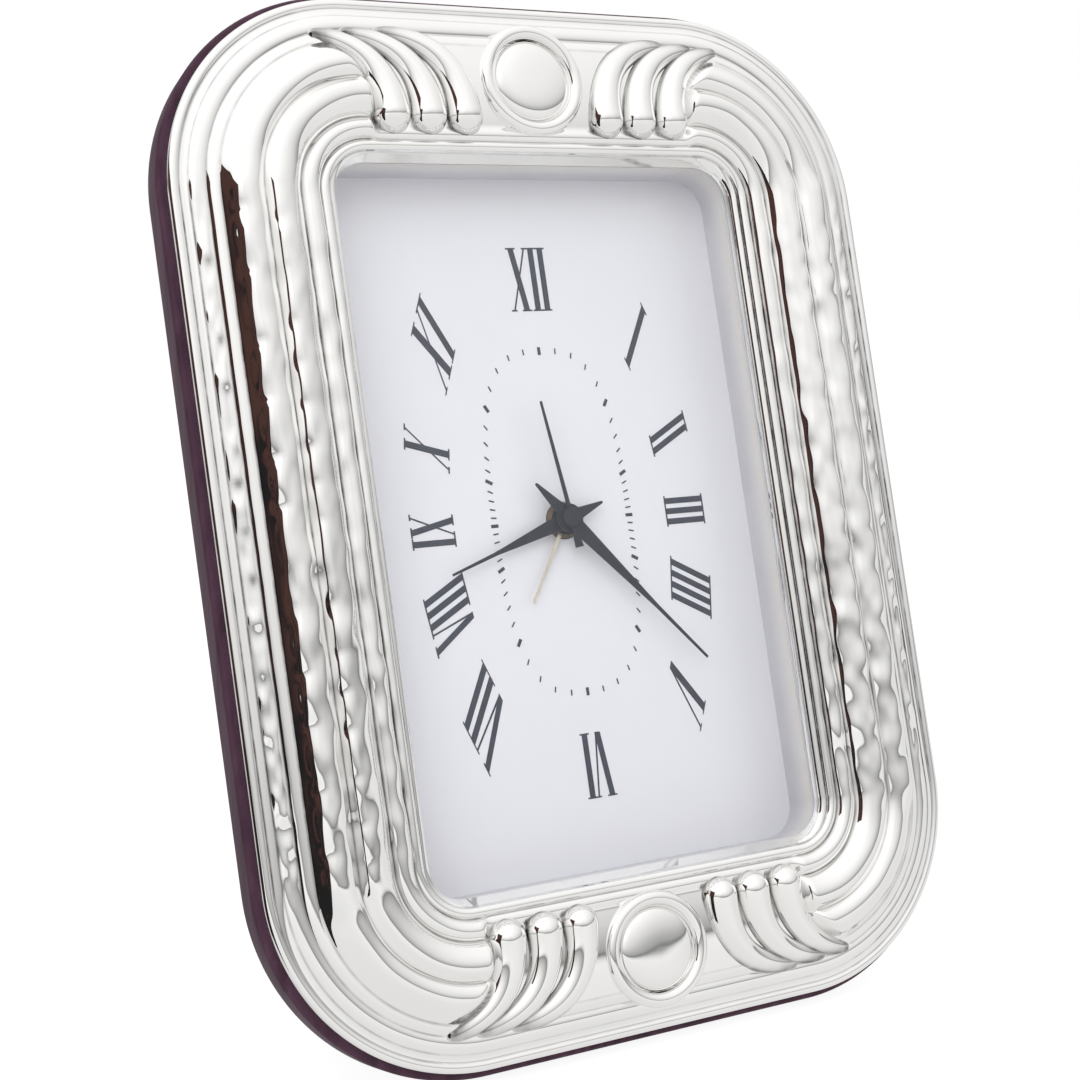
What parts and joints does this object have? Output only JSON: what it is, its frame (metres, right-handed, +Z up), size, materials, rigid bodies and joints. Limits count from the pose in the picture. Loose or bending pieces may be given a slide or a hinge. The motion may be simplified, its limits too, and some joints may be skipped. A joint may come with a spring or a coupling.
{
  "type": "photo frame clock",
  "caption": "Desk alarm clock set in a picture frame: pressed silver border, lacquered wooden body, roman dial behind glass, folding rear strut.",
  "frame": {"origin": "middle of the box's underside, on the surface the clock stands on", "axes": "+Z up, +Y to the clock's back, +X to the viewer's right; the face looks along -Y and leans back by 18 degrees"},
  "size_m": [0.143, 0.0724, 0.1841],
  "materials": {
    "silver": "pressed silver sheet, satin polish with hammered ridges",
    "filler": "cast resin, matt",
    "lacquered_wood": "dark plum lacquer, satin",
    "plain_wood": "stained wood, satin",
    "steel": "plated steel",
    "glass": "clear flat glass",
    "gasket": "soft pale strip",
    "surround_plastic": "matt pale plastic",
    "dial_paint": "smooth white enamel paint",
    "ink": "printed dark slate ink",
    "hand_paint": "dark slate satin paint",
    "gold": "pale gold",
    "case_plastic": "black moulded plastic",
    "white_plastic": "natural moulded plastic",
    "brass": "brass",
    "magnet": "sintered magnet",
    "iron": "soft iron sheet",
    "copper": "enamelled copper wire",
    "circuit": "green solder mask",
    "resin": "black sealing resin",
    "cell": "plain grey printed jacket"
  },
  "bodies": {
    "frame_body": {"silver_front": "silver", "frame_filler": "filler", "wooden_board": "lacquered_wood", "inner_frame": "plain_wood", "back_panel": "lacquered_wood", "panel_screws": "steel", "glass": "glass", "glass_gasket": "gasket", "dial_surround": "surround_plastic", "dial_plate": "dial_paint", "dial_numerals": "ink", "minute_track": "ink", "backing_plate": "white_plastic", "movement_front_plate": "case_plastic", "movement_case": "case_plastic", "mid_plate": "white_plastic", "train_bridge": "white_plastic", "case_screws": "steel", "stator": "iron", "coil_core": "iron", "coil_bobbin": "white_plastic", "coil_winding": "copper", "circuit_board": "circuit", "circuit_chip": "resin", "quartz_crystal": "steel", "buzzer": "brass", "battery": "cell", "contact_plus": "steel", "contact_minus": "steel", "panel_leaf": "brass", "hinge_pin": "steel", "panel_leaf_screws": "brass"},
    "minute_hand_body": {"minute_arbor": "brass", "minute_hand": "hand_paint"},
    "hour_hand_body": {"hour_wheel": "white_plastic", "hour_hand": "hand_paint"},
    "minute_wheel_body": {"minute_wheel": "white_plastic"},
    "time_knob_body": {"time_knob": "case_plastic"},
    "second_hand_body": {"second_wheel": "brass", "second_hand": "hand_paint"},
    "intermediate_body": {"intermediate_wheel": "white_plastic"},
    "rotor_body": {"rotor": "magnet"},
    "third_body": {"third_wheel": "white_plastic"},
    "centre_body": {"centre_wheel": "white_plastic"},
    "alarm_hand_body": {"alarm_wheel": "white_plastic", "alarm_hand": "gold"},
    "alarm_knob_body": {"alarm_knob": "case_plastic"},
    "alarm_switch_body": {"alarm_switch": "white_plastic"},
    "strut_body": {"strut": "lacquered_wood", "strut_leaf": "brass", "strut_leaf_screws": "brass"}
  },
  "joints": [
    {"name": "minute_spin", "type": "hinge", "parent": "frame_body", "child": "minute_hand_body", "pos_m": [0, 0.0054, 0.09028], "axis": [0, 0.9511, -0.309], "continuous": true},
    {"name": "hour_spin", "type": "hinge", "parent": "frame_body", "child": "hour_hand_body", "pos_m": [0, 0.0054, 0.09028], "axis": [0, 0.9511, -0.309], "continuous": true},
    {"name": "minute_wheel_spin", "type": "hinge", "parent": "frame_body", "child": "minute_wheel_body", "pos_m": [-0.00788, 0.00497, 0.08896], "axis": [0, 0.9511, -0.309], "continuous": true},
    {"name": "time_knob_spin", "type": "hinge", "parent": "frame_body", "child": "time_knob_body", "pos_m": [-0.01599, 0.00429, 0.08689], "axis": [0, 0.9511, -0.309], "continuous": true},
    {"name": "rotor_spin", "type": "hinge", "parent": "frame_body", "child": "rotor_body", "pos_m": [0.0153, 0.00843, 0.09962], "axis": [0, 0.9511, -0.309], "continuous": true},
    {"name": "intermediate_spin", "type": "hinge", "parent": "frame_body", "child": "intermediate_body", "pos_m": [0.00803, 0.00713, 0.09563], "axis": [0, 0.9511, -0.309], "continuous": true},
    {"name": "second_spin", "type": "hinge", "parent": "frame_body", "child": "second_hand_body", "pos_m": [0, 0.0054, 0.09028], "axis": [0, 0.9511, -0.309], "continuous": true},
    {"name": "third_spin", "type": "hinge", "parent": "frame_body", "child": "third_body", "pos_m": [-0.00407, 0.00885, 0.10092], "axis": [0, 0.9511, -0.309], "continuous": true},
    {"name": "centre_spin", "type": "hinge", "parent": "frame_body", "child": "centre_body", "pos_m": [0, 0.0054, 0.09028], "axis": [0, 0.9511, -0.309], "continuous": true},
    {"name": "alarm_spin", "type": "hinge", "parent": "frame_body", "child": "alarm_hand_body", "pos_m": [0, 0.0054, 0.09028], "axis": [0, 0.9511, -0.309], "continuous": true},
    {"name": "alarm_knob_spin", "type": "hinge", "parent": "frame_body", "child": "alarm_knob_body", "pos_m": [0.01236, 0.00437, 0.08713], "axis": [0, 0.9511, -0.309], "continuous": true},
    {"name": "alarm_switch_slide", "type": "slide", "parent": "frame_body", "child": "alarm_switch_body", "axis": [0, 0.309, 0.9511], "range_m": [0, 0.004]},
    {"name": "strut_fold", "type": "hinge", "parent": "frame_body", "child": "strut_body", "pos_m": [0, 0.00106, 0.05121], "axis": [-1, 0, 0], "range_deg": [0, 45]}
  ],
  "couplings": [
    {"joint": "hour_spin", "follows": "minute_spin", "ratio": 0.083333},
    {"joint": "minute_wheel_spin", "follows": "minute_spin", "ratio": -0.33333},
    {"joint": "time_knob_spin", "follows": "minute_spin", "ratio": 0.83333},
    {"joint": "intermediate_spin", "follows": "rotor_spin", "ratio": -0.2},
    {"joint": "second_spin", "follows": "rotor_spin", "ratio": 0.033333},
    {"joint": "third_spin", "follows": "rotor_spin", "ratio": -0.0044444},
    {"joint": "centre_spin", "follows": "rotor_spin", "ratio": 0.00055556},
    {"joint": "alarm_knob_spin", "follows": "alarm_spin", "ratio": -0.88235}
  ]
}
